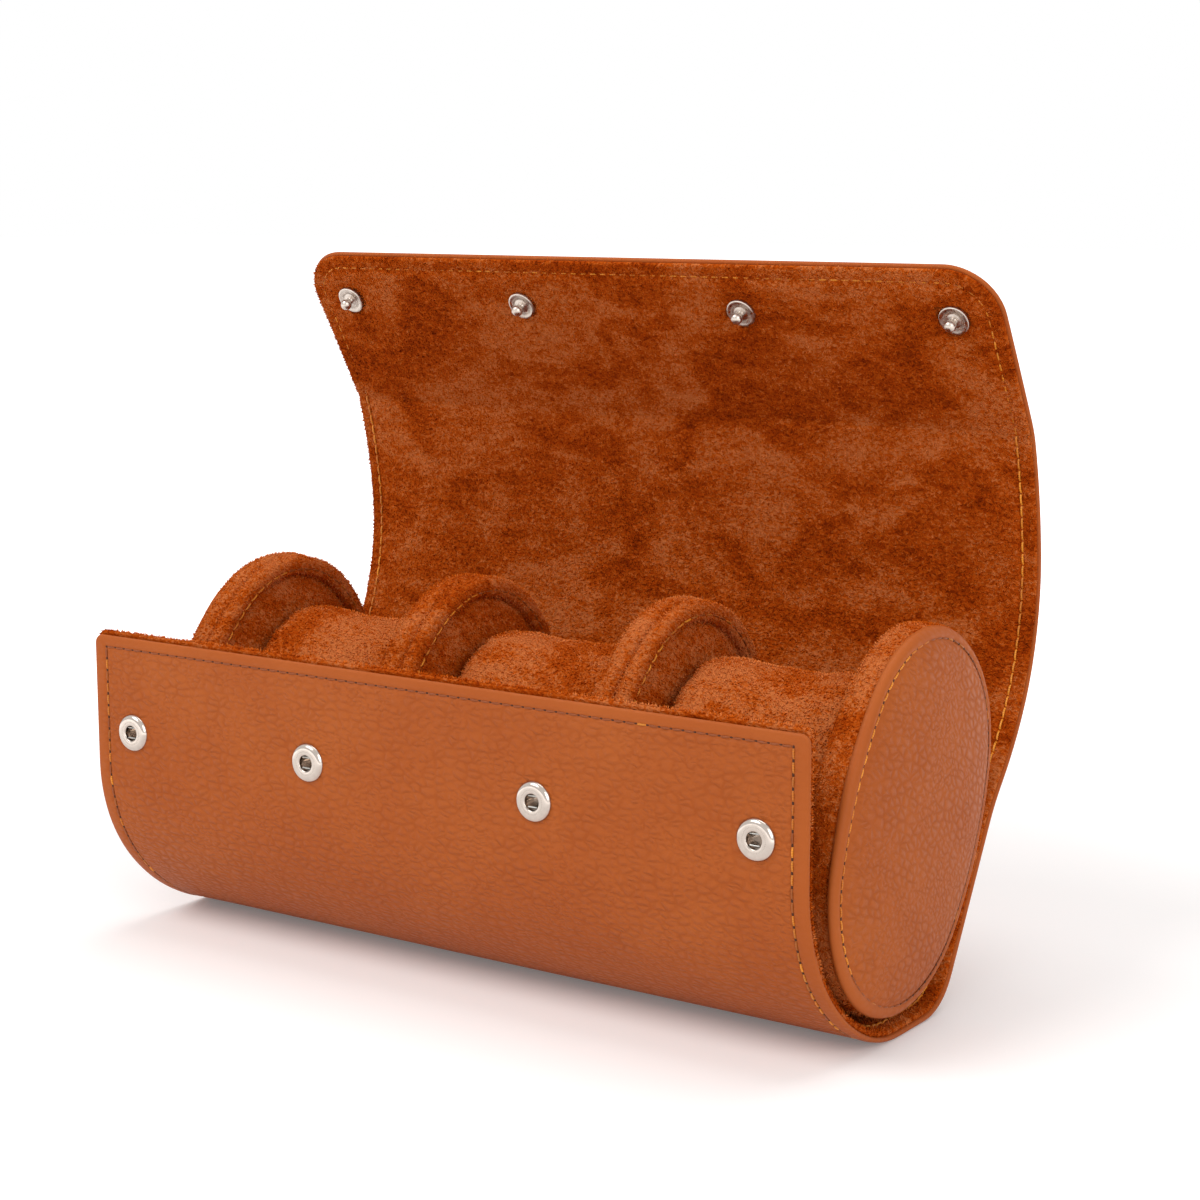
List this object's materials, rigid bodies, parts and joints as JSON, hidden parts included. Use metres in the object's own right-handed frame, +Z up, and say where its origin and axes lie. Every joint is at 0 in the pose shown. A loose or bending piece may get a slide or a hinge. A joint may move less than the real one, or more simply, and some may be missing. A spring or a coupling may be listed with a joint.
{
  "type": "watch roll",
  "caption": "Leather travel roll for watches: an open flap lid with snaps, padded divider discs and removable velvet cushions in a stiffened wrap.",
  "frame": {"origin": "middle of the flat strip under the roll that it stands on", "axes": "+X along the roll, to the right as seen from the snap side; +Y from the snapped front panel to the lid at the back; +Z up"},
  "size_m": [0.2047, 0.1084, 0.1654],
  "materials": {
    "pebbled_leather": "pebbled, semi-matte",
    "velvet": "short brushed pile",
    "foam": "matte open-cell",
    "stiffener_board": "matte",
    "lid_card": "matte",
    "disc_board": "matte",
    "nickel_plated_brass": "polished nickel plate",
    "spring_wire": "bright drawn wire"
  },
  "bodies": {
    "base": {"base_leather": "pebbled_leather", "base_board": "stiffener_board", "base_lining": "velvet", "end_disc_left_core": "disc_board", "end_disc_left_pad": "velvet", "end_disc_left_welt": "velvet", "divider_left_core": "disc_board", "divider_left_pad": "velvet", "divider_left_welt": "velvet", "divider_right_core": "disc_board", "divider_right_pad": "velvet", "divider_right_welt": "velvet", "end_disc_right_core": "disc_board", "end_disc_right_pad": "velvet", "end_disc_left_face": "pebbled_leather", "end_disc_right_face": "pebbled_leather"},
    "front_lower": {"front_lower_leather": "pebbled_leather", "front_lower_board": "stiffener_board", "front_lower_lining": "velvet"},
    "front_upper": {"front_upper_leather": "pebbled_leather", "front_upper_board": "stiffener_board", "front_upper_lining": "velvet", "snap_sockets": "nickel_plated_brass", "snap_springs": "spring_wire", "snap_eyelets": "nickel_plated_brass"},
    "lid_back": {"lid_back_leather": "pebbled_leather", "lid_back_board": "lid_card", "lid_back_lining": "velvet"},
    "lid_middle": {"lid_middle_leather": "pebbled_leather", "lid_middle_board": "lid_card", "lid_middle_lining": "velvet"},
    "lid_top": {"lid_top_leather": "pebbled_leather", "lid_top_board": "lid_card", "lid_top_lining": "velvet"},
    "flap": {"flap_leather": "pebbled_leather", "flap_board": "lid_card", "flap_lining": "velvet", "snap_studs": "nickel_plated_brass", "snap_caps": "nickel_plated_brass"},
    "cushion_left": {"cushion_left_foam": "foam", "cushion_left_cover": "velvet"},
    "cushion_centre": {"cushion_centre_foam": "foam", "cushion_centre_cover": "velvet"},
    "cushion_right": {"cushion_right_foam": "foam", "cushion_right_cover": "velvet"}
  },
  "joints": [
    {"name": "lid", "type": "hinge", "parent": "base", "child": "lid_back", "pos_m": [0, 0.04088, 0.04332], "axis": [-1, 0, 0], "range_deg": [-46.55, 0], "deforming": ["end_disc_left_pad", "end_disc_left_welt", "divider_left_pad", "divider_left_welt", "divider_right_pad", "divider_right_welt", "end_disc_right_pad", "end_disc_left_face"]},
    {"name": "lid_middle_fold", "type": "hinge", "parent": "lid_back", "child": "lid_middle", "pos_m": [0, 0.05666, 0.06628], "axis": [-1, 0, 0], "range_deg": [-21.45, 0]},
    {"name": "lid_top_fold", "type": "hinge", "parent": "lid_middle", "child": "lid_top", "pos_m": [0, 0.06191, 0.09459], "axis": [-1, 0, 0], "range_deg": [-20.43, 0]},
    {"name": "flap", "type": "hinge", "parent": "lid_top", "child": "flap", "pos_m": [0, 0.05591, 0.12695], "axis": [-1, 0, 0], "range_deg": [-31.43, 0]},
    {"name": "front_lower_fold", "type": "hinge", "parent": "base", "child": "front_lower", "pos_m": [0, -0.03079, 0.01178], "axis": [1, 0, 0], "range_deg": [-10.04, 0]},
    {"name": "front_upper_fold", "type": "hinge", "parent": "front_lower", "child": "front_upper", "pos_m": [0, -0.04542, 0.03691], "axis": [1, 0, 0], "range_deg": [-18.77, 0]},
    {"name": "cushion_left", "type": "slide", "parent": "base", "child": "cushion_left", "axis": [0, 0, 1], "range_m": [0, 0.09]},
    {"name": "cushion_centre", "type": "slide", "parent": "base", "child": "cushion_centre", "axis": [0, 0, 1], "range_m": [0, 0.09]},
    {"name": "cushion_right", "type": "slide", "parent": "base", "child": "cushion_right", "axis": [0, 0, 1], "range_m": [0, 0.09]}
  ],
  "couplings": [
    {"joint": "lid_middle_fold", "follows": "lid", "ratio": 0.46027},
    {"joint": "lid_top_fold", "follows": "lid", "ratio": 0.43851},
    {"joint": "front_lower_fold", "follows": "lid", "ratio": 0.2152},
    {"joint": "front_upper_fold", "follows": "lid", "ratio": 0.40287}
  ]
}
